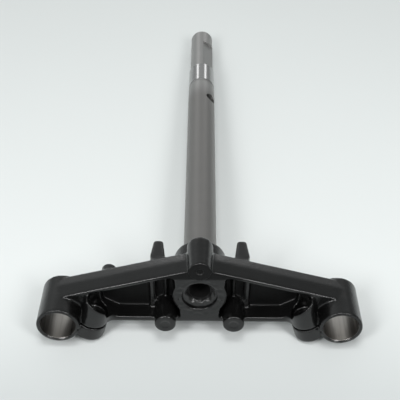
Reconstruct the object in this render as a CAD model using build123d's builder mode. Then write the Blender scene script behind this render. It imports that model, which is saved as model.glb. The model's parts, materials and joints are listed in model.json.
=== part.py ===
from build123d import *
from math import asin, atan2, cos, hypot, radians, sin, tan
import os

os.makedirs("parts", exist_ok=True)

# The frame: +Y runs up the stem, +Z is the rear of the bike, which is up as the part lies on its
# front, and +X is to the right. The origin is on the stem axis, at the hub's top face.
# Heights are measured up the stem from the underside of the arms. In sketches square to the stem,
# x runs to the right and y runs to the front of the bike, the way the fork is offset.

# Fork clamps
fork_tube = 27.0
clamp_clearance = 0.05
fork_spacing = 218.0
fork_offset = 17.8
clamp_wall = 3.05
clamp_reach = 15.2
clamp_rise = 1.5
clamp_edge = 0.8

# Stem tube
stem_tube = 26.9
stem_wall = 5.0
stem_length = 382.0
lower_seat_step = 0.3
lower_seat_length = 11.0
upper_seat_step = 0.2
upper_seat_start = 270.0
upper_seat_length = 32.0
relief_width = 5.0
relief_depth = 0.4
top_step = 1.25
tip_bevel = 2.2
key_side = 42.0
key_flat_gap = 26.0
key_flat_depth = 2.4
lock_side = 48.0
lock_hole = 11.5
lock_hole_drop = 33.0

# Hub and the weld inside its lower mouth
hub_wall = 7.55
hub_height = 44.0
hub_edge = 2.0
mouth_depth = 8.0
mouth_bevel = 0.8
weld_leg = 4.6
weld_crown = 0.8

# Arms, drafted both ways from the parting line
arm_depth = 23.5
parting_height = 12.7
draft = 6.0
rear_apex = 29.8
front_reach = 28.8
arm_edge = 3.0
rear_wall = 3.6
front_wall = 4.7
pocket_floor = 8.5
pocket_corner = 2.5
pocket_end_gap = 7.6
slant = 32.0
slant_run = 45.0
core_half_width = 15.1
web_inner = 20.0

# Pinch ears beside the clamps, square to a slot that leans to the front
slot_lean = 16.0
slot_gap = 1.6
ear_inset = 25.4
ear_diameter = 25.0
ear_rise = 1.5
ear_clamp_lap = 0.4
ear_flare = 7.0
ear_back = 7.0
ear_lip = 20.1
ear_lip_slope = 28.0
ear_lip_run = 7.6
flare_run = 8.0
nut_seat = 6.0
nut_recess_diameter = 18.4
lower_ear_depth = 12.7
lower_ear_reach = 6.0
ear_foot_edge = 1.2
bolt_hole = 8.4
bolt_shift = 1.2
bolt_rise = 0.2

# Underside bosses and ribs
boss_x = 26.5
boss_set_back = 9.0
boss_diameter = 16.6
boss_reach = 10.4
boss_edge = 1.2
boss_dimple = 8.0
boss_dimple_depth = 0.6
rib_set_out = 10.5
rib_width = 5.0
rib_depth = 3.0
fin_width = 2.4
fin_depth = 2.5

# Rear lug, steering stops and the small pad on the left arm
lug_set_in = 2.0
lug_diameter = 17.3
lug_reach = 2.4
lug_rise = 4.5
lug_draft = 3.4
lug_edge = 2.5
lug_near_edge = 0.8
lug_dimple = 6.0
lug_dimple_depth = 1.2
stop_rise = 23.0
stop_x = 33.4
stop_width = 11.4
stop_tip_width = 6.2
stop_thickness = 10.5
stop_tip_thickness = 7.5
stop_lean = 0.4
stop_set_in = 2.7
stop_corner = 2.0
stop_edge = 1.5
stop_web_inner = 11.0
stop_web_rise = 3.2
stop_web_thickness = 7.5
pad_inset = 37.0
pad_diameter = 12.0
pad_height = 6.0
pad_edge = 1.2
pad_set_in = 8.0

# Radii and places that follow from these
fork_x = fork_spacing / 2
bore_radius = fork_tube / 2 + clamp_clearance
clamp_radius = bore_radius + clamp_wall
clamp_length = clamp_reach + arm_depth + clamp_rise
stem_radius = stem_tube / 2
stem_inside = stem_radius - stem_wall
lower_seat_radius = stem_radius + lower_seat_step
upper_seat_radius = stem_radius - upper_seat_step
top_radius = upper_seat_radius - top_step
hub_radius = stem_radius + hub_wall
ear_radius = ear_diameter / 2
ear_outer = clamp_radius - ear_clamp_lap
ear_reach = ear_radius - ear_rise
ear_x = fork_x - ear_inset * cos(radians(slot_lean))
ear_foot = slot_gap / 2 + lower_ear_depth
bolt_place = (ear_inset + bolt_shift, -bolt_rise)
boss_offset = front_reach - boss_set_back
rib_x = boss_x + rib_set_out
lug_offset = rear_apex - lug_set_in
lug_height = lug_reach + arm_depth + lug_rise
stop_height = arm_depth + stop_rise
pad_x = pad_inset - fork_x

# The rear edge of each arm runs from the apex, tangent to its clamp
apex_to_clamp = hypot(fork_x, fork_offset + rear_apex)
arm_slope = atan2(fork_offset + rear_apex, fork_x) - asin(clamp_radius / apex_to_clamp)
tangent_x = fork_x + clamp_radius * sin(arm_slope)
tangent_y = fork_offset - clamp_radius * cos(arm_slope)

# The front wall runs straight, then slants towards each ear
draft_growth = parting_height * tan(radians(draft))
front_face = front_reach - draft_growth
front_inner = front_face - front_wall
slant_start = fork_x - slant_run
pocket_depth = arm_depth - pocket_floor
pocket_end = ear_x - pocket_end_gap


def across(height):
    """Sketch plane square to the stem, this far above the underside of the arms."""
    return Plane(origin=(0, height - hub_height, 0), x_dir=(1, 0, 0), z_dir=(0, 1, 0))


def ear_plane(rise):
    """Sketch plane square to the right pinch bolt, this far to the rear of the slot's middle."""
    lean = radians(slot_lean)
    rear = Vector(-sin(lean), 0, cos(lean))
    start = Vector(fork_x, -hub_height, -fork_offset) + rear * rise
    return Plane(start, x_dir=(-cos(lean), 0, -sin(lean)), z_dir=rear)


def ear_point(inset, rise):
    """A point of a sketch square to the stem, this far along the right slot and to the rear of it."""
    lean = radians(slot_lean)
    x = fork_x - inset * cos(lean) - rise * sin(lean)
    return (x, fork_offset + inset * sin(lean) - rise * cos(lean))


def slot_end(front):
    """Distance along the slot at which its upper face comes to this front face."""
    lean = radians(slot_lean)
    return (front - fork_offset + slot_gap / 2 * cos(lean)) / sin(lean)


def outward(angle):
    """Direction out of the stem axis, turned this many degrees from the rear to the right."""
    return Vector(sin(radians(angle)), 0, cos(radians(angle)))


def rear_inner(x):
    """Inner face of the rear wall at the underside, as a sketch y."""
    set_back = (draft_growth + rear_wall) / cos(arm_slope)
    return -rear_apex + set_back + x * tan(arm_slope)


def slant_line(x):
    """Inner face of the front wall where it slants towards the ear, as a sketch y."""
    return front_inner - (x - slant_start) * tan(radians(slant))


# Tool body: the nut recess over the right ear, under the rear wall
with BuildPart() as nut_recess:
    with BuildSketch(ear_plane(nut_seat)):
        with Locations(bolt_place):
            Circle(nut_recess_diameter / 2)
    extrude(amount=fork_offset + rear_apex)
    with BuildSketch(across(-nut_recess_diameter)):
        with BuildLine():
            Polyline(
                (0, rear_inner(0)),
                (fork_x, rear_inner(fork_x)),
                (fork_x, front_reach),
                (0, front_reach),
                close=True,
            )
        make_face()
    extrude(amount=nut_recess_diameter + arm_depth, mode=Mode.INTERSECT)

# Tool body: the right pinch bolt's hole
with BuildPart() as bolt_bore:
    with BuildSketch(ear_plane(-ear_foot)):
        with Locations(bolt_place):
            Circle(bolt_hole / 2)
    extrude(amount=ear_foot + nut_seat)

# Tool body: the right upper ear, with the flare that runs into the front wall
with BuildPart() as upper_ear:
    flare_start = ear_inset + (ear_radius ** 2 - ear_rise ** 2) ** 0.5
    with BuildSketch(ear_plane(slot_gap / 2)) as ear_plan:
        with Locations((ear_inset, -ear_rise)):
            Circle(ear_radius)
        with Locations((ear_inset, 0)):
            Rectangle(ear_diameter + 2 * ear_flare, ear_back, align=(Align.MIN, Align.MAX))
        fillet(ear_plan.vertices().sort_by_distance((flare_start, 0, 0))[0], ear_flare)
    extrude(amount=fork_offset + rear_apex)
    lip_fall = tan(radians(ear_lip_slope))
    flare_x = slant_start + flare_run
    with BuildSketch(across(-ear_reach)):
        with BuildLine():
            Polyline(
                ear_point(ear_outer, slot_gap / 2),
                ear_point(slot_end(front_face), slot_gap / 2),
                (slant_start, front_face),
                (slant_start, front_inner),
                (flare_x, slant_line(flare_x)),
                ear_point(ear_inset + ear_lip_run, ear_lip - ear_lip_run * lip_fall),
                ear_point(ear_outer, ear_lip + (ear_inset - ear_outer) * lip_fall),
                close=True,
            )
        make_face()
    extrude(amount=ear_reach + ear_back, mode=Mode.INTERSECT)

# Tool body: the right lower ear, on the free side of the slot
with BuildPart() as lower_ear:
    with BuildSketch(ear_plane(-slot_gap / 2)) as lower_ear_plan:
        with Locations((ear_inset, -ear_rise)):
            Circle(ear_radius)
        with Locations((ear_inset, lower_ear_reach)):
            Rectangle(ear_inset, lower_ear_reach + ear_rise + ear_radius, align=(Align.MAX, Align.MAX))
    extrude(amount=-lower_ear_depth)
    ear_foot_face = lower_ear.faces().sort_by(Axis((0, 0, 0), ear_plane(0).z_dir))[0]
    fillet(ear_foot_face.edges(), ear_foot_edge)

# Tool body: the lug behind the stem, wider towards its top
with BuildPart() as rear_lug:
    with BuildSketch(across(-lug_reach)):
        with Locations((0, -lug_offset)):
            Circle(lug_diameter / 2)
    extrude(amount=lug_height, taper=-lug_draft)
    fillet(rear_lug.faces().sort_by(Axis.Y)[-1].edges(), lug_edge)
    fillet(rear_lug.faces().sort_by(Axis.Y)[0].edges(), lug_near_edge)
    with BuildSketch(across(-lug_reach)):
        with Locations((0, -lug_offset)):
            Circle(lug_dimple / 2)
    extrude(amount=lug_dimple_depth, mode=Mode.SUBTRACT)

# Tool body: the right steering stop, a tapered horn on the arm's rear edge, with a low web to the hub
with BuildPart() as steering_stop:
    stop_rear = stop_x * tan(arm_slope) - rear_apex + stop_set_in
    with BuildSketch(across(arm_depth - arm_edge)) as stop_root:
        with Locations((stop_x, stop_rear)):
            Rectangle(stop_width, stop_thickness, align=(Align.CENTER, Align.MIN))
        fillet(stop_root.vertices(), stop_corner)
    with BuildSketch(across(stop_height)) as stop_end:
        with Locations((stop_x, stop_rear + stop_lean)):
            Rectangle(stop_tip_width, stop_tip_thickness, align=(Align.CENTER, Align.MIN))
        fillet(stop_end.vertices(), stop_corner)
    loft()
    fillet(steering_stop.faces().sort_by(Axis.Y)[-1].edges(), stop_edge)
    with BuildSketch(across(arm_depth - arm_edge)):
        with Locations((stop_web_inner, stop_rear)):
            Rectangle(stop_x - stop_web_inner, stop_web_thickness, align=(Align.MIN, Align.MIN))
    extrude(amount=arm_edge + stop_web_rise)

# Tool body: a right underside boss
with BuildPart() as underside_boss:
    with BuildSketch(across(-boss_reach)):
        with Locations((boss_x, boss_offset)):
            Circle(boss_diameter / 2)
    extrude(amount=boss_reach + pocket_depth)
    fillet(underside_boss.faces().sort_by(Axis.Y)[0].edges(), boss_edge)
    with BuildSketch(across(-boss_reach)):
        with Locations((boss_x, boss_offset)):
            Circle(boss_dimple / 2)
    extrude(amount=boss_dimple_depth, mode=Mode.SUBTRACT)

# Tool body: the small round pad on the left arm's top
with BuildPart() as arm_pad:
    with BuildSketch(across(arm_depth - arm_edge)):
        with Locations((pad_x, -pad_x * tan(arm_slope) - rear_apex + pad_set_in)):
            Circle(pad_diameter / 2)
    extrude(amount=arm_edge + pad_height)
    fillet(arm_pad.faces().sort_by(Axis.Y)[-1].edges(), pad_edge)

with BuildPart() as lower_yoke:
    # Arms: one outline at the parting line, drafted up and down from it
    with BuildSketch(across(parting_height)) as arm_outline:
        with BuildLine():
            Polyline(
                (0, -rear_apex),
                (tangent_x, tangent_y),
                ear_point(0, slot_gap / 2),
                ear_point(slot_end(front_reach), slot_gap / 2),
                (0, front_reach),
                close=True,
            )
        make_face()
        mirror(about=Plane.YZ)
    extrude(amount=arm_depth - parting_height, taper=draft)
    extrude(arm_outline.sketch, amount=-parting_height, taper=draft)
    arm_top_edges = lower_yoke.faces().sort_by(Axis.Y)[-1].edges()
    fillet(arm_top_edges, arm_edge)

    # Upper ears
    add(upper_ear.part)
    mirror(upper_ear.part, about=Plane.YZ)

    # Pockets in the underside, between the rear and front walls
    with BuildSketch(across(0)) as pockets:
        with BuildLine():
            Polyline(
                (web_inner, rear_inner(web_inner)),
                (pocket_end, rear_inner(pocket_end)),
                (pocket_end, slant_line(pocket_end)),
                (slant_start, front_inner),
                (core_half_width, front_inner),
                close=True,
            )
        make_face()
        fillet(pockets.vertices(), pocket_corner)
        mirror(about=Plane.YZ)
    extrude(amount=pocket_depth, mode=Mode.SUBTRACT)
    add(nut_recess.part, mode=Mode.SUBTRACT)
    mirror(nut_recess.part, about=Plane.YZ, mode=Mode.SUBTRACT)

    # Ribs across the pockets, and fins from the bosses to the rear wall
    with BuildSketch(across(pocket_depth - rib_depth)):
        with BuildLine():
            Polyline(
                (rib_x - rib_width / 2, rear_inner(rib_x - rib_width / 2) - rear_wall / 2),
                (rib_x + rib_width / 2, rear_inner(rib_x + rib_width / 2) - rear_wall / 2),
                (rib_x + rib_width / 2, front_inner + front_wall / 2),
                (rib_x - rib_width / 2, front_inner + front_wall / 2),
                close=True,
            )
        make_face()
        mirror(about=Plane.YZ)
    extrude(amount=rib_depth)
    with BuildSketch(across(pocket_depth - fin_depth)):
        with BuildLine():
            Polyline(
                (boss_x - fin_width / 2, rear_inner(boss_x) - rear_wall / 2),
                (boss_x + fin_width / 2, rear_inner(boss_x) - rear_wall / 2),
                (boss_x + fin_width / 2, boss_offset),
                (boss_x - fin_width / 2, boss_offset),
                close=True,
            )
        make_face()
        mirror(about=Plane.YZ)
    extrude(amount=fin_depth)
    add(underside_boss.part)
    mirror(underside_boss.part, about=Plane.YZ)

    # Hub, lug, steering stops and pad
    with BuildSketch(across(0)):
        Circle(hub_radius)
    extrude(amount=hub_height)
    fillet(lower_yoke.faces().sort_by(Axis.Y)[-1].edges(), hub_edge)
    add(rear_lug.part)
    add(steering_stop.part)
    mirror(steering_stop.part, about=Plane.YZ)
    add(arm_pad.part)

    # Clamp barrels with their lower ears
    with BuildSketch(across(-clamp_reach)):
        with Locations((-fork_x, fork_offset), (fork_x, fork_offset)):
            Circle(clamp_radius)
    extrude(amount=clamp_length)
    add(lower_ear.part)
    mirror(lower_ear.part, about=Plane.YZ)

    # Fork bores, then the slots that let the clamps close
    with BuildSketch(across(-clamp_reach)):
        with Locations((-fork_x, fork_offset), (fork_x, fork_offset)):
            Circle(bore_radius)
    extrude(amount=clamp_length, mode=Mode.SUBTRACT)
    for end, inward in ((-clamp_reach, clamp_edge), (clamp_length - clamp_reach, -clamp_edge)):
        with BuildSketch(across(end)):
            with Locations((-fork_x, fork_offset), (fork_x, fork_offset)):
                Circle(bore_radius + clamp_edge)
        extrude(amount=inward, taper=45, mode=Mode.SUBTRACT)
    with BuildSketch(across(-clamp_reach)):
        with BuildLine():
            Polyline(
                ear_point(0, slot_gap / 2),
                ear_point(slot_end(front_reach), slot_gap / 2),
                ear_point(slot_end(front_reach), -slot_gap / 2),
                ear_point(0, -slot_gap / 2),
                close=True,
            )
        make_face()
        mirror(about=Plane.YZ)
    extrude(amount=clamp_length, mode=Mode.SUBTRACT)

    # Pinch bolt holes, from the foot of the ears to the nut seats
    add(bolt_bore.part, mode=Mode.SUBTRACT)
    mirror(bolt_bore.part, about=Plane.YZ, mode=Mode.SUBTRACT)

    # Bore for the stem
    with BuildSketch(across(0)):
        Circle(stem_radius)
    extrude(amount=hub_height, mode=Mode.SUBTRACT)
    with BuildSketch(across(0)):
        Circle(stem_radius + mouth_bevel)
    extrude(amount=mouth_bevel, taper=45, mode=Mode.SUBTRACT)

lower_yoke.part.label = "lower_yoke"
export_step(lower_yoke.part, "parts/lower_yoke.step")

# The stem stands in the hub, with its foot set back from the mouth
stem_foot = mouth_depth - hub_height
upper_seat_end = upper_seat_start + upper_seat_length
relief_start = upper_seat_start - relief_width
relief_radius = upper_seat_radius - relief_depth
top_start = upper_seat_end + top_step
key_flat_end = stem_length - key_flat_gap
lock_hole_height = upper_seat_start - lock_hole_drop
with BuildPart() as steering_stem:
    with BuildSketch(Plane.XY):
        with BuildLine():
            Polyline(
                (stem_inside, stem_foot),
                (stem_radius, stem_foot),
                (stem_radius, 0),
                (lower_seat_radius, 0),
                (lower_seat_radius, lower_seat_length),
                (stem_radius, lower_seat_length + lower_seat_step),
                (stem_radius, relief_start),
                (relief_radius, relief_start + stem_radius - relief_radius),
                (relief_radius, upper_seat_start - relief_depth),
                (upper_seat_radius, upper_seat_start),
                (upper_seat_radius, upper_seat_end),
                (top_radius, top_start),
                (top_radius, stem_length - tip_bevel),
                (top_radius - tip_bevel, stem_length),
                (stem_inside, stem_length),
                close=True,
            )
        make_face()
    revolve(axis=Axis.Y)
    # Lock hole and milled flat, both to the right of the rear
    with BuildSketch(Plane((0, lock_hole_height, 0), x_dir=(0, 1, 0), z_dir=outward(lock_side))):
        Circle(lock_hole / 2)
    extrude(amount=stem_tube, mode=Mode.SUBTRACT)
    key_side_way = outward(key_side)
    key_flat = Plane(key_side_way * (top_radius - key_flat_depth), x_dir=(0, 1, 0), z_dir=key_side_way)
    with BuildSketch(key_flat):
        with Locations((top_start, 0)):
            Rectangle(key_flat_end - top_start, stem_tube, align=(Align.MIN, Align.CENTER))
    extrude(amount=stem_tube, mode=Mode.SUBTRACT)

steering_stem.part.label = "steering_stem"
export_step(steering_stem.part, "parts/steering_stem.step")

# Fillet weld between the foot of the stem and the wall of the mouth
with BuildPart() as stem_weld:
    with BuildSketch(Plane.XY):
        with BuildLine():
            Line((stem_radius, stem_foot), (stem_radius - weld_leg, stem_foot))
            ThreePointArc(
                (stem_radius - weld_leg, stem_foot),
                (stem_radius - weld_leg / 2 - weld_crown, stem_foot - weld_leg / 2 - weld_crown),
                (stem_radius, stem_foot - weld_leg),
            )
            Line((stem_radius, stem_foot - weld_leg), (stem_radius, stem_foot))
        make_face()
    revolve(axis=Axis.Y)

stem_weld.part.label = "stem_weld"
export_step(stem_weld.part, "parts/stem_weld.step")
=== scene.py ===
import json
import math

import bmesh
import bpy
import numpy as np
from mathutils import Matrix, Vector, noise


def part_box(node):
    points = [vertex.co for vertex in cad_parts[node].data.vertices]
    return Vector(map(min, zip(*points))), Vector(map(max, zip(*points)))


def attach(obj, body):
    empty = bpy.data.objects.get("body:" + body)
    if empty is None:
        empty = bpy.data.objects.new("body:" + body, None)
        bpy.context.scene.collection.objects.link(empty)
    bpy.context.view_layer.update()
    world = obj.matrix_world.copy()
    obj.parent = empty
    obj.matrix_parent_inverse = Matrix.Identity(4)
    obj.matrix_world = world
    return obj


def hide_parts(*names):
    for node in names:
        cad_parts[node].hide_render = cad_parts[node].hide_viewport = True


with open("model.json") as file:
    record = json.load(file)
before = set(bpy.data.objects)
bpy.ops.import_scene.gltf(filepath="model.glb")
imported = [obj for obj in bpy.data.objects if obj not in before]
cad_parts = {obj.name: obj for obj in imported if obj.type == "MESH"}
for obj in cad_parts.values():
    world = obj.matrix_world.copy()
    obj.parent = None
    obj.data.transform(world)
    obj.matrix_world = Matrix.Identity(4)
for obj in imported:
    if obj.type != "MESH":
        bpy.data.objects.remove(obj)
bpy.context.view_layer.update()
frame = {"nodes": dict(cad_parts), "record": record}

# Sizes are in metres. The frame: +Y up the stem, +Z up as the part lies, +X to the right.
mm = 0.001
mounts = {mount["name"]: mount for mount in frame["record"]["mounts"]}


def mount_radius(name):
    """Radius of one of the record's round mounts."""
    return mounts[name]["dims"]["r_mm"] * mm


def mount_length(name):
    """Length of one of the record's round mounts."""
    return mounts[name]["dims"]["length_mm"] * mm


yoke_low, yoke_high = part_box("lower_yoke")
stem_low, stem_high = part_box("steering_stem")
weld_low, weld_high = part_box("stem_weld")

# Fork clamps and pinch bolts
fork_radius = mount_radius("right_fork_clamp")
fork_centre = Vector(mounts["right_fork_clamp"]["pos_m"])
fork_bevel = 0.8 * mm
clamp_length = mount_length("right_fork_clamp") + 2 * fork_bevel
bolt_radius = mount_radius("right_pinch_bolt")
bolt_centre = Vector(mounts["right_pinch_bolt"]["pos_m"])
bolt_axis = Vector(mounts["right_pinch_bolt"]["axis"])
bolt_length = mount_length("right_pinch_bolt")

# Stem
stem_radius = weld_high.x
bore_radius = mount_radius("stem_bore")
lower_seat_radius = mount_radius("lower_race_seat")
lower_seat_length = mount_length("lower_race_seat")
upper_seat_radius = mount_radius("upper_race_seat")
upper_seat_length = mount_length("upper_race_seat")
upper_seat_middle = mounts["upper_race_seat"]["pos_m"][1]
upper_seat_start = upper_seat_middle - upper_seat_length / 2
upper_seat_end = upper_seat_middle + upper_seat_length / 2
relief_depth = 0.4 * mm
relief_radius = upper_seat_radius - relief_depth
relief_width = 5.0 * mm
top_radius = mount_radius("handlebar_spigot")
top_start = upper_seat_end + upper_seat_radius - top_radius
tip_bevel = 2.2 * mm
edge_break = 0.25 * mm
key_side = math.radians(42.0)
key_flat_depth = 2.4 * mm
key_flat_to_tip = 26.0 * mm
key_flat_end = stem_high.y - key_flat_to_tip
lock_side = math.radians(48.0)
lock_radius = 5.75 * mm
lock_to_seat = 33.0 * mm
lock_height = upper_seat_start - lock_to_seat

# Weld, and the underside of the arms
weld_leg = weld_high.y - weld_low.y
weld_crown = 0.8 * mm
mouth_depth = 8.0 * mm
underside = stem_low.y - mouth_depth


# Meshes
def new_object(name, data):
    obj = bpy.data.objects.new(name, data)
    bpy.context.scene.collection.objects.link(obj)
    return obj


def mesh_from(name, points, faces):
    mesh = bpy.data.meshes.new(name)
    mesh.from_pydata([tuple(point) for point in points], [], faces)
    mesh.update()
    return mesh


def outward_normals(mesh):
    work = bmesh.new()
    work.from_mesh(mesh)
    bmesh.ops.recalc_face_normals(work, faces=work.faces)
    work.to_mesh(mesh)
    work.free()
    return mesh


def lathe_mesh(name, profile, segments):
    """Closed ring of (radius, height) points turned about +Y."""
    count = len(profile)
    points = []
    for step in range(segments):
        angle = 2 * math.pi * step / segments
        for radius, height in profile:
            points.append((radius * math.cos(angle), height, radius * math.sin(angle)))
    faces = []
    for step in range(segments):
        following = (step + 1) % segments
        for k in range(count):
            after = (k + 1) % count
            faces.append((
                step * count + k, step * count + after,
                following * count + after, following * count + k,
            ))
    return outward_normals(mesh_from(name, points, faces))


def solid_of_revolution(name, profile, segments, matrix):
    """Solid from (radius, height) points that start and end on the axis, turned about local +Z."""
    points = []
    for radius, height in profile:
        if radius == 0:
            points.append((0.0, 0.0, height))
        else:
            for step in range(segments):
                angle = 2 * math.pi * step / segments
                points.append((radius * math.cos(angle), radius * math.sin(angle), height))
    rings = len(profile) - 2
    last = len(points) - 1
    faces = []
    for step in range(segments):
        following = (step + 1) % segments
        faces.append((0, 1 + following, 1 + step))
        for ring in range(rings - 1):
            low = 1 + ring * segments
            high = low + segments
            faces.append((low + step, low + following, high + following, high + step))
        top = 1 + (rings - 1) * segments
        faces.append((top + step, top + following, last))
    mesh = mesh_from(name, points, faces)
    mesh.transform(matrix)
    return outward_normals(mesh)


def plain_cylinder(name, radius, length, matrix, segments=128):
    half = length / 2
    profile = [(0, -half), (radius, -half), (radius, half), (0, half)]
    return solid_of_revolution(name, profile, segments, matrix)


def plain_block(name, matrix):
    """Unit cube, placed and sized by a matrix."""
    work = bmesh.new()
    bmesh.ops.create_cube(work, size=1)
    mesh = bpy.data.meshes.new(name)
    work.to_mesh(mesh)
    work.free()
    mesh.transform(matrix)
    return mesh


def joined(name, meshes):
    """One mesh that holds copies of several."""
    work = bmesh.new()
    for mesh in meshes:
        work.from_mesh(mesh)
    result = bpy.data.meshes.new(name)
    work.to_mesh(result)
    work.free()
    return result


def apply_modifiers(obj):
    graph = bpy.context.evaluated_depsgraph_get()
    mesh = bpy.data.meshes.new_from_object(obj.evaluated_get(graph))
    obj.modifiers.clear()
    obj.data = mesh
    return obj


def cut(obj, cutter_mesh):
    """Cut a closed mesh out of a closed object."""
    cutter = new_object("cutter", cutter_mesh)
    modifier = obj.modifiers.new("cut", "BOOLEAN")
    modifier.operation = "DIFFERENCE"
    modifier.solver = "MANIFOLD"
    modifier.object = cutter
    apply_modifiers(obj)
    bpy.data.objects.remove(cutter)
    return obj


def shade(obj, sharp_angle):
    """Smooth shading, broken at edges that turn by more than this many degrees."""
    mesh = obj.data
    mesh.polygons.foreach_set("use_smooth", np.ones(len(mesh.polygons), bool))
    mesh.set_sharp_from_angle(angle=math.radians(sharp_angle))
    return obj


def aimed(position, direction):
    """Place at this position, with local +Z along this direction."""
    return Matrix.Translation(position) @ direction.to_track_quat("Z", "Y").to_matrix().to_4x4()


# Points of a mesh as arrays
def coordinates(mesh):
    flat = np.empty(3 * len(mesh.vertices), np.float32)
    mesh.vertices.foreach_get("co", flat)
    return flat.reshape(-1, 3).astype(float)


def set_coordinates(mesh, points):
    mesh.vertices.foreach_set("co", points.astype(np.float32).ravel())
    mesh.update()


def edge_pairs(mesh):
    flat = np.empty(2 * len(mesh.edges), np.int32)
    mesh.edges.foreach_get("vertices", flat)
    return flat.reshape(-1, 2)


def vertex_normals(mesh):
    flat = np.empty(3 * len(mesh.vertices), np.float32)
    mesh.vertex_normals.foreach_get("vector", flat)
    return flat.reshape(-1, 3).astype(float)


def push_out(mesh, points, distances):
    """Move each point along the mesh's normal there."""
    set_coordinates(mesh, points + vertex_normals(mesh) * distances[:, None])


def keep_inside(obj, low, high):
    """Hold the mesh within the box of the solid that it stands for."""
    points = np.clip(coordinates(obj.data), np.array(low), np.array(high))
    set_coordinates(obj.data, points)
    return obj


def smooth_points(points, pairs, rounds, weight, share=0.5):
    """Move each point a share of the way to the middle of its neighbours, times its own weight."""
    count = len(points)
    ends = np.concatenate([pairs[:, 0], pairs[:, 1]])
    others = np.concatenate([pairs[:, 1], pairs[:, 0]])
    valence = np.maximum(np.bincount(ends, minlength=count), 1)
    step = (share * weight)[:, None]
    for _ in range(rounds):
        middle = np.stack(
            [np.bincount(ends, points[others, axis], count) for axis in range(3)], axis=1
        )
        points = points + step * (middle / valence[:, None] - points)
    return points


def ramp(values, start, end):
    """0 before start, 1 after end, smooth between them."""
    t = np.clip((values - start) / (end - start), 0.0, 1.0)
    return t * t * (3 - 2 * t)


def fade(values, start, end):
    """1 before start, 0 after end, smooth between them."""
    return 1 - ramp(values, start, end)


seed_shift = Vector((1.0, 2.7, 5.1))


def lumps(points, height, size, seed):
    """Smooth noise at each point, up to this height either way, with bumps of about this size."""
    shift = seed * seed_shift
    return height * np.array([noise.noise(Vector(point) / size + shift) for point in points])


# The yoke: a casting with rounded edges and a rough skin, then its machined holes
along_y = Matrix.Rotation(math.radians(-90), 4, "X")
voxel = 0.6 * mm
cast_triangles = 165000
fork_overrun = 2 * mm
fork_segments = 192
bolt_overrun = 2 * mm
bolt_segments = 64
edge_rounds = 7
crisp_share = 0.7
fillet_rounds = 16
rim_rounds = 20
horn_centre = 33.4 * mm
horn_widening = 0.22
spatter_sink = 0.15 * mm

# Where the casting's edges and skin change: the start and end of each change.
# Widths are from the middle plane, depths from the underside up the stem, heights from the stem's axis.
lug_end_width = (10 * mm, 12 * mm)
lug_end_depth = (0, 2 * mm)
lug_end_height = (16 * mm, 18 * mm)
boss_end_width = (40 * mm, 42 * mm)
boss_end_depth = (-8 * mm, -6 * mm)
horn_inside = (25 * mm, 27 * mm)
horn_outside = (41 * mm, 44 * mm)
horn_depth = (25 * mm, 30 * mm)
flank_inside = (6.5 * mm, 9 * mm)
flank_outside = (13 * mm, 19 * mm)
flank_depth = (1 * mm, 5 * mm)
flank_height = (14 * mm, 19 * mm)
pocket_start = (3 * mm, 7 * mm)
pocket_end = (16 * mm, 19 * mm)
rim_reach = (2 * mm, 4 * mm)
hub_edge = (22 * mm, 26 * mm)
clamp_width = (85 * mm, 90 * mm)
clamp_height = (0, 3 * mm)
collar_inside = (12.5 * mm, 15 * mm)
collar_outside = (17 * mm, 20 * mm)
collar_depth = (2 * mm, 5 * mm)


def both_sides(vector):
    return [vector, Vector((-vector.x, vector.y, vector.z))]


def bolt_places():
    """Where the two pinch bolts' holes lie, with local +Z along each bolt."""
    return [aimed(*place) for place in zip(both_sides(bolt_centre), both_sides(bolt_axis))]


def cast_blank():
    """The casting before machining: its fork bores and bolt holes are filled."""
    pieces = [frame["nodes"]["lower_yoke"].data]
    plug_radius = fork_radius + fork_bevel + voxel
    for centre in both_sides(fork_centre):
        place = Matrix.Translation(centre) @ along_y
        pieces.append(plain_cylinder("plug", plug_radius, clamp_length, place))
    for place in bolt_places():
        pieces.append(plain_cylinder("plug", bolt_radius + voxel, bolt_length, place))
    return joined("cast_yoke", pieces)


def fork_cutter(centre):
    """Bore of a fork clamp, with a bevel at each end."""
    half = clamp_length / 2
    wide = fork_radius + fork_bevel + fork_overrun
    profile = [
        (0, -half - fork_overrun),
        (wide, -half - fork_overrun),
        (fork_radius, -half + fork_bevel),
        (fork_radius, half - fork_bevel),
        (wide, half + fork_overrun),
        (0, half + fork_overrun),
    ]
    return solid_of_revolution("fork_cutter", profile, fork_segments, Matrix.Translation(centre) @ along_y)


def yoke_places(points):
    """Width, depth and height of each point on the casting."""
    return np.abs(points[:, 0]), points[:, 1] - underside, points[:, 2]


def horn_mask(points):
    """1 on the two steering stops."""
    width, depth, _ = yoke_places(points)
    return ramp(width, *horn_inside) * fade(width, *horn_outside) * ramp(depth, *horn_depth)


def crisp_mask(points):
    """1 where edges stay crisp: the ends of the lug and bosses, and the steering stops."""
    width, depth, height = yoke_places(points)
    lug_end = fade(width, *lug_end_width) * fade(depth, *lug_end_depth) * ramp(height, *lug_end_height)
    boss_ends = fade(width, *boss_end_width) * fade(depth, *boss_end_depth)
    return np.maximum(np.maximum(lug_end, boss_ends), horn_mask(points))


def fillet_mask(points):
    """1 where fillets are wider: on the lug's flanks and in the pockets."""
    width, depth, height = yoke_places(points)
    flanks = ramp(width, *flank_inside) * fade(width, *flank_outside)
    flanks = flanks * ramp(depth, *flank_depth) * ramp(height, *flank_height)
    pockets = ramp(depth, *pocket_start) * fade(depth, *pocket_end)
    return np.maximum(flanks, pockets)


def rim_mask(points):
    """1 along the walls' underside edges, away from the hub and the clamps."""
    width, depth, height = yoke_places(points)
    rims = fade(np.abs(depth), *rim_reach) * ramp(np.hypot(width, height), *hub_edge)
    return rims * (1 - ramp(width, *clamp_width) * fade(height, *clamp_height))


def collar_mask(points):
    """1 on the lumpy collar round the stem's mouth."""
    width, depth, height = yoke_places(points)
    from_stem = np.hypot(width, height)
    return ramp(from_stem, *collar_inside) * fade(from_stem, *collar_outside) * fade(depth, *collar_depth)


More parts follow.
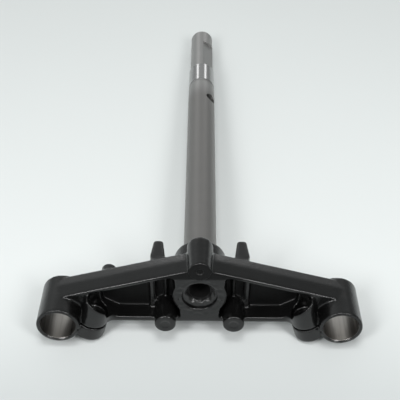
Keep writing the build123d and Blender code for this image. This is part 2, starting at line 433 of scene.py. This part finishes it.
def make_yoke():
    obj = new_object("cast_yoke", cast_blank())
    remesh = obj.modifiers.new("remesh", "REMESH")
    remesh.mode = "VOXEL"
    remesh.voxel_size = voxel
    apply_modifiers(obj)

    # Rounded edges, wider fillets and wider tips on the steering stops
    mesh = obj.data
    points = coordinates(mesh)
    pairs = edge_pairs(mesh)
    horns = horn_mask(points)
    crisp = crisp_mask(points)
    points = smooth_points(points, pairs, edge_rounds, 1 - crisp_share * crisp)
    fillets = fillet_mask(points)
    rims = rim_mask(points) * (1 - crisp)
    points = smooth_points(points, pairs, fillet_rounds, fillets)
    points = smooth_points(points, pairs, rim_rounds, rims)
    side = np.sign(points[:, 0])
    points[:, 0] += horn_widening * horns * (points[:, 0] - side * horn_centre)
    set_coordinates(mesh, points)

    # Cast skin, and weld spatter on the collar
    skin = lumps(points, height=0.05 * mm, size=7 * mm, seed=1)
    skin = skin + lumps(points, height=0.025 * mm, size=2.2 * mm, seed=2)
    spatter = lumps(points, height=0.55 * mm, size=3.4 * mm, seed=3) - spatter_sink
    push_out(mesh, points, skin + collar_mask(points) * spatter)

    decimate = obj.modifiers.new("decimate", "DECIMATE")
    decimate.ratio = min(1.0, cast_triangles / (2 * len(mesh.polygons)))
    apply_modifiers(obj)
    keep_inside(obj, yoke_low, yoke_high)

    cutters = [fork_cutter(centre) for centre in both_sides(fork_centre)]
    drill_length = bolt_length + 2 * bolt_overrun
    for place in bolt_places():
        cutters.append(plain_cylinder("bolt_cutter", bolt_radius, drill_length, place, bolt_segments))
    cut(obj, joined("cutters", cutters))
    return shade(obj, sharp_angle=40)


# The stem: turned, then drilled and milled
stem_segments = 160
tube_rings = 60
top_rings = 24
tip_turns = 6
lock_segments = 64
mill_depth = 6 * mm
mill_width = 4 * top_radius


def straight_run(radius, start, end, rings):
    """Points between the ends of a straight stretch of the profile."""
    return [(radius, start + (end - start) * k / rings) for k in range(1, rings)]


def rounded_tip():
    """Quarter circle at the stem's top edge."""
    points = []
    for k in range(tip_turns + 1):
        angle = math.pi / 2 * k / tip_turns
        points.append((
            top_radius - tip_bevel + tip_bevel * math.cos(angle),
            stem_high.y - tip_bevel + tip_bevel * math.sin(angle),
        ))
    return points


def stem_profile():
    """Section of the turned stem, from its foot to its tip."""
    tube_start = lower_seat_length + edge_break
    tube_end = upper_seat_start - relief_width
    return [
        (bore_radius, stem_low.y),
        (stem_radius, stem_low.y),
        (stem_radius, 0),
        (lower_seat_radius, 0),
        (lower_seat_radius, lower_seat_length),
        (stem_radius, lower_seat_length + lower_seat_radius - stem_radius),
        *straight_run(stem_radius, tube_start, tube_end, tube_rings),
        (stem_radius, tube_end - edge_break),
        (stem_radius - edge_break, tube_end),
        (relief_radius, tube_end + stem_radius - relief_radius),
        (relief_radius, upper_seat_start - relief_depth),
        (upper_seat_radius - edge_break, upper_seat_start - edge_break / 2),
        (upper_seat_radius, upper_seat_start + edge_break),
        (upper_seat_radius, upper_seat_end - edge_break),
        (upper_seat_radius - edge_break, upper_seat_end),
        (top_radius + edge_break, top_start - edge_break),
        (top_radius, top_start + edge_break),
        *straight_run(top_radius, top_start + edge_break, stem_high.y - tip_bevel, top_rings),
        *rounded_tip(),
        (bore_radius, stem_high.y),
    ]


def beside_stem(angle, distance, height):
    """Place beside the stem's axis, with local +Z away from it, this angle round from +Z."""
    away = Vector((distance * math.sin(angle), height, distance * math.cos(angle)))
    return Matrix.Translation(away) @ Matrix.Rotation(angle, 4, "Y")


def make_stem():
    obj = new_object("turned_stem", lathe_mesh("turned_stem", stem_profile(), stem_segments))
    drill_length = 2 * stem_radius
    drill_place = beside_stem(lock_side, drill_length / 2, lock_height)
    drill = plain_cylinder("drill", lock_radius, drill_length, drill_place, lock_segments)
    mill_middle = top_radius - key_flat_depth + mill_depth / 2
    mill_place = beside_stem(key_side, mill_middle, (top_start + key_flat_end) / 2)
    mill_size = Matrix.Diagonal((mill_width, key_flat_end - top_start, mill_depth, 1))
    mill = plain_block("mill", mill_place @ mill_size)
    cut(obj, joined("stem_cutters", [drill, mill]))
    return shade(obj, sharp_angle=30)


# The weld: a lumpy bead between the foot of the stem and the wall of the mouth
weld_segments = 256
weld_points = 28


def quadratic(t, start, middle, end):
    """Curve from start to end that passes through middle halfway."""
    control = 2 * middle - (start + end) / 2
    return (1 - t) ** 2 * start + 2 * t * (1 - t) * control + t ** 2 * end


def make_weld():
    middle_radius = stem_radius - weld_leg / 2 - weld_crown
    middle_height = stem_low.y - weld_leg / 2 - weld_crown
    profile = []
    for k in range(weld_points):
        t = k / (weld_points - 1)
        radius = quadratic(t, stem_radius - weld_leg, middle_radius, stem_radius)
        height = quadratic(t, stem_low.y, middle_height, stem_low.y - weld_leg)
        profile.append((radius, height))
    profile.append((stem_radius, stem_low.y))
    mesh = lathe_mesh("weld_bead", profile, weld_segments)
    obj = new_object("weld_bead", mesh)

    # The lumps fade out at both edges of the bead, and its hidden corner has none
    points = coordinates(mesh)
    t = (np.arange(len(points)) % len(profile)) / (weld_points - 1)
    crown = np.clip(4 * t * (1 - t), 0, 1)
    bumps = lumps(points, height=1.1 * mm, size=4.6 * mm, seed=6)
    bumps = bumps + lumps(points, height=0.3 * mm, size=2.4 * mm, seed=7)
    push_out(mesh, points, crown * bumps)
    keep_inside(obj, weld_low, weld_high)
    return shade(obj, sharp_angle=60)


# Materials
class Nodes:
    """A short way to write a node tree."""

    def __init__(self, tree, space):
        self.tree = tree
        self.place = self.add("ShaderNodeTexCoord").outputs[space]

    def add(self, kind, **settings):
        node = self.tree.nodes.new(kind)
        for name, value in settings.items():
            setattr(node, name, value)
        return node

    def link(self, source, target):
        self.tree.links.new(source, target)

    def feed(self, target, value):
        """Link an output to a socket, or set the socket to a plain value."""
        if hasattr(value, "is_output"):
            self.link(value, target)
        else:
            target.default_value = value

    def math(self, operation, first, second=0.0):
        node = self.add("ShaderNodeMath", operation=operation)
        self.feed(node.inputs[0], first)
        self.feed(node.inputs[1], second)
        return node.outputs[0]

    def along(self, axis, vector=None):
        """One axis of a vector, or of the place on the surface."""
        node = self.add("ShaderNodeSeparateXYZ")
        self.link(vector or self.place, node.inputs[0])
        return node.outputs[axis]

    def ramp(self, value, start, end):
        """0 before start, 1 after end, smooth between them."""
        node = self.add("ShaderNodeMapRange", interpolation_type="SMOOTHSTEP")
        self.feed(node.inputs["Value"], value)
        node.inputs["From Min"].default_value = start
        node.inputs["From Max"].default_value = end
        return node.outputs["Result"]

    def spread(self, value, low, high, start=0.0, end=1.0):
        """low before start, high after end, even between them."""
        node = self.add("ShaderNodeMapRange")
        self.feed(node.inputs["Value"], value)
        node.inputs["From Min"].default_value = start
        node.inputs["From Max"].default_value = end
        node.inputs["To Min"].default_value = low
        node.inputs["To Max"].default_value = high
        return node.outputs["Result"]

    def noise(self, size, detail=2.0, stretch=(1, 1, 1)):
        scale = self.add("ShaderNodeVectorMath", operation="MULTIPLY")
        self.link(self.place, scale.inputs[0])
        scale.inputs[1].default_value = [factor / size for factor in stretch]
        node = self.add("ShaderNodeTexNoise")
        self.link(scale.outputs[0], node.inputs["Vector"])
        node.inputs["Scale"].default_value = 1.0
        node.inputs["Detail"].default_value = detail
        return node.outputs["Fac"]

    def mix(self, factor, first, second, data_type="RGBA"):
        node = self.add("ShaderNodeMix", data_type=data_type)
        self.feed(node.inputs["Factor"], factor)
        self.feed(node.inputs["A"], first)
        self.feed(node.inputs["B"], second)
        return node.outputs["Result"]

    def mix_number(self, factor, first, second):
        return self.mix(factor, first, second, data_type="FLOAT")


class MaterialNodes(Nodes):
    """A new material's node tree, with its shader."""

    def __init__(self, name):
        self.material = bpy.data.materials.new(name)
        self.material.use_nodes = True
        self.material.node_tree.nodes.clear()
        super().__init__(self.material.node_tree, "Object")
        output = self.add("ShaderNodeOutputMaterial")
        self.shader = self.add("ShaderNodeBsdfPrincipled")
        self.link(self.shader.outputs["BSDF"], output.inputs["Surface"])

    def bump(self, height, distance, strength):
        node = self.add("ShaderNodeBump")
        self.feed(node.inputs["Height"], height)
        node.inputs["Distance"].default_value = distance
        node.inputs["Strength"].default_value = strength
        self.link(node.outputs["Normal"], self.shader.inputs["Normal"])

    def set(self, **values):
        for name, value in values.items():
            self.feed(self.shader.inputs[name.replace("_", " ")], value)


def grey(level, warm=0.0):
    return (level * (1 + warm), level, level * (1 - warm), 1.0)


def black_paint():
    """Paint on the casting, with bare metal in the fork bores, finished by honing, that carries a painted
    highlight.
    """
    nodes = MaterialNodes("black_paint")
    x = nodes.along("X")
    y = nodes.along("Y")
    z = nodes.along("Z")
    side = nodes.math("SUBTRACT", nodes.math("ABSOLUTE", x), fork_centre.x)
    lift = nodes.math("SUBTRACT", z, fork_centre.z)
    squares = nodes.math("ADD", nodes.math("MULTIPLY", side, side), nodes.math("MULTIPLY", lift, lift))
    from_fork = nodes.math("SQRT", squares)
    painted = nodes.ramp(from_fork, start=fork_radius + 0.04 * mm, end=fork_radius + 0.16 * mm)

    # The paint is duller on the pockets' floors and the lug's end: rougher, and with a lower specular
    # level that darkens them as painted shade
    facing = nodes.along("Y", nodes.add("ShaderNodeNewGeometry").outputs["Normal"])
    faces_underside = nodes.ramp(facing, start=-0.6, end=-0.9)
    in_pocket = nodes.ramp(y, start=underside + 12.4 * mm, end=underside + 14 * mm)
    on_lug = nodes.ramp(z, start=17 * mm, end=19 * mm)
    dull_and_shaded = nodes.math("MULTIPLY", faces_underside, nodes.math("MAXIMUM", in_pocket, on_lug))
    dull_roughness = 0.5
    cloud = nodes.noise(size=18 * mm)
    paint = nodes.mix(cloud, grey(0.002), grey(0.0045))
    paint_roughness = nodes.mix_number(dull_and_shaded, nodes.spread(cloud, low=0.20, high=0.29), dull_roughness)

    # Painted highlight: a lighter track along the middle of each bore, mixed with tool streaks, and
    # painted light that makes the right bore brighter than the left
    streak = nodes.ramp(nodes.noise(size=3 * mm, detail=3.0, stretch=(1, 0.03, 1)), start=0.3, end=0.7)
    painted_sheen = nodes.ramp(nodes.math("ABSOLUTE", side), start=11 * mm, end=2 * mm)
    streak_share = 0.3
    sheen_and_streaks = nodes.mix_number(streak_share, painted_sheen, streak)
    warm = 0.05
    left_metal = nodes.mix(sheen_and_streaks, grey(0.05, warm), grey(0.46, warm))
    right_metal = nodes.mix(sheen_and_streaks, grey(0.12, warm), grey(0.60, warm))
    on_right = nodes.ramp(x, start=-fork_centre.x, end=fork_centre.x)
    metal = nodes.mix(on_right, left_metal, right_metal)
    metal_roughness = 0.34

    nodes.set(
        Base_Color=nodes.mix(painted, metal, paint),
        Metallic=nodes.math("SUBTRACT", 1.0, painted),
        Roughness=nodes.mix_number(painted, metal_roughness, paint_roughness),
        Specular_IOR_Level=nodes.spread(dull_and_shaded, low=0.5, high=0.15),
    )
    nodes.bump(nodes.noise(size=1.6 * mm, detail=3.0), distance=0.16 * mm, strength=0.8)
    return nodes.material


def weld_paint():
    """Paint on the weld, a little duller than on the casting."""
    nodes = MaterialNodes("weld_paint")
    cloud = nodes.noise(size=3 * mm, detail=3.0)
    nodes.set(
        Base_Color=nodes.mix(cloud, grey(0.008), grey(0.02)),
        Roughness=nodes.spread(cloud, low=0.26, high=0.4),
    )
    nodes.bump(nodes.noise(size=1.4 * mm), distance=0.06 * mm, strength=0.5)
    return nodes.material


def bare_steel():
    """Drawn steel on the tube, buffed towards the top, with a bright turned band and a painted foot."""
    nodes = MaterialNodes("bare_steel")
    y = nodes.along("Y")
    past_start = nodes.ramp(y, start=upper_seat_start - 0.3 * mm, end=upper_seat_start + 0.1 * mm)
    past_end = nodes.ramp(y, start=upper_seat_end - 0.1 * mm, end=upper_seat_end + 0.4 * mm)
    band = nodes.math("SUBTRACT", past_start, past_end)
    buffed = nodes.ramp(y, start=upper_seat_start - 36 * mm, end=upper_seat_start - 6 * mm)
    bare = nodes.ramp(y, start=-24 * mm, end=-14 * mm)
    drawn = nodes.noise(size=0.9 * mm, stretch=(1, 0.02, 1))
    cloud = nodes.noise(size=14 * mm, detail=3.0)
    turned = nodes.noise(size=0.35 * mm, detail=1.0, stretch=(0.01, 1, 0.01))

    foot_paint = grey(0.008)
    tube = nodes.mix(nodes.math("MULTIPLY", drawn, cloud), grey(0.235, 0.025), grey(0.27, 0.025))
    top = nodes.mix(cloud, grey(0.33, 0.012), grey(0.37, 0.012))
    bright = nodes.mix(turned, grey(0.24), grey(0.33))
    steel = nodes.mix(band, nodes.mix(buffed, tube, top), bright)
    band_roughness = 0.18
    nodes.set(
        Base_Color=nodes.mix(bare, foot_paint, steel),
        Metallic=bare,
        Roughness=nodes.mix_number(band, nodes.spread(buffed, low=0.5, high=0.46), band_roughness),
    )
    grain = nodes.mix_number(band, nodes.math("ADD", drawn, cloud), turned)
    nodes.bump(grain, distance=0.02 * mm, strength=0.4)
    return nodes.material


def pale_floor():
    """Pale sheet, with painted shade that makes it a little darker in front of the part."""
    nodes = MaterialNodes("pale_floor")
    # Painted shade: a darker colour in front of the part, where less light falls
    front = (0.50, 0.525, 0.525, 1)
    sheet = nodes.mix(nodes.noise(size=0.25), (0.705, 0.732, 0.727, 1), (0.72, 0.747, 0.742, 1))
    behind = nodes.ramp(nodes.along("Y"), start=-0.16, end=0.04)
    nodes.set(Base_Color=nodes.mix(behind, front, sheet), Roughness=0.9)
    return nodes.material


def dress(obj, material, slot, *nodes):
    obj.data.materials.clear()
    obj.data.materials.append(material)
    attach(obj, "root")
    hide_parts(*nodes)


dress(make_yoke(), black_paint(), "black_paint", "lower_yoke")
dress(make_stem(), bare_steel(), "bare_steel", "steering_stem")
dress(make_weld(), weld_paint(), "black_paint", "stem_weld")

# Floor: it meets the underside of the stem's tip and the yoke's lowest points
tip = Vector((0, stem_high.y - tip_bevel, -top_radius))
yoke_points = coordinates(frame["nodes"]["lower_yoke"].data)
falls = (tip.z - yoke_points[:, 2]) / (tip.y - yoke_points[:, 1])
foot = Vector(yoke_points[int(np.argmax(falls))])
foot.x = 0
slope = math.atan(float(falls.max()))
floor_side = 0.9
floor_front = -0.7
floor_back = 0.85
floor_corners = [
    (-floor_side, floor_front, 0),
    (floor_side, floor_front, 0),
    (floor_side, floor_back, 0),
    (-floor_side, floor_back, 0),
]
floor_mesh = mesh_from("floor", floor_corners, [(0, 1, 2, 3)])
floor_mesh.transform(Matrix.Translation(foot) @ Matrix.Rotation(slope, 4, "X"))
floor = new_object("floor", floor_mesh)
floor.data.materials.append(pale_floor())

# Room: brighter on the left, darker behind the camera, with a pale wall low down all round
room_tint = (0.93, 0.97, 0.965, 1)
wall_level = 0.8
world = bpy.data.worlds.new("room")
bpy.context.scene.world = world
world.use_nodes = True
room = Nodes(world.node_tree, "Generated")
across = room.spread(room.along("X"), low=0.60, high=0.30, start=-0.8, end=0.8)
onward = room.spread(room.along("Y"), low=0.5, high=1.0, start=-0.9, end=-0.1)
upward = room.spread(room.along("Z"), low=0.6, high=1.0, start=0.0, end=0.45)
level = room.math("MULTIPLY", room.math("MULTIPLY", across, onward), upward)
wall = room.spread(room.along("Z"), low=1.0, high=0.0, start=0.04, end=0.16)
background = world.node_tree.nodes["Background"]
background.inputs["Color"].default_value = room_tint
room.link(room.mix_number(wall, level, wall_level), background.inputs["Strength"])


def soft_light(name, direction, distance, width, height, radiance):
    """Flat soft light, turned to face the yoke, of this brightness seen from it."""
    light = bpy.data.lights.new(name, "AREA")
    light.shape = "RECTANGLE"
    light.size = width
    light.size_y = height
    light.energy = radiance * math.pi * width * height
    away = Vector(direction).normalized()
    new_object(name, light).matrix_world = aimed(away * distance, away)


def bearing(side, height):
    """Direction this many degrees to the right of +Y and this many above level."""
    side = math.radians(side)
    height = math.radians(height)
    return (math.cos(height) * math.sin(side), math.cos(height) * math.cos(side), math.sin(height))


soft_light("far_wall", bearing(0, 25), distance=3.2, width=4.2, height=1.7, radiance=0.31)
soft_light("left_window", bearing(-17, 22), distance=3.0, width=0.36, height=0.5, radiance=2.6)
soft_light("right_window", bearing(16.5, 22), distance=3.0, width=0.36, height=0.5, radiance=2.6)
soft_light("left_panel", (-0.46, -0.62, 0.64), distance=1.7, width=0.34, height=0.7, radiance=17.0)
soft_light("right_panel", (0.46, -0.62, 0.64), distance=1.7, width=0.34, height=0.7, radiance=15.0)
soft_light("overhead", (0, -0.25, 0.968), distance=1.6, width=0.5, height=0.6, radiance=9.5)

# Camera, from the photograph's side
focal_pixels = 840.0
frame_pixels = 400.0
sensor_width = 36.0
camera_place = Vector((0, -508.2, 455.9)) * mm
look = Vector((0, 0.789, -0.614)).normalized()
roll = math.radians(0.5)
yaw_pixels = -0.5
right = Vector((1, 0, 0))
up = right.cross(look)
look = (look + right * (yaw_pixels / focal_pixels)).normalized()
right = look.cross(up).normalized()
up = right.cross(look)
camera_right = right * math.cos(roll) + up * math.sin(roll)
camera_up = up * math.cos(roll) - right * math.sin(roll)
camera_data = bpy.data.cameras.new("camera")
camera_data.sensor_width = sensor_width
camera_data.lens = sensor_width * focal_pixels / frame_pixels
camera_data.clip_start = 0.01
camera = new_object("camera", camera_data)
turn = Matrix((camera_right, camera_up, -look)).transposed().to_4x4()
camera.matrix_world = Matrix.Translation(camera_place) @ turn
bpy.context.scene.camera = camera
bpy.context.scene.view_settings.view_transform = "Standard"
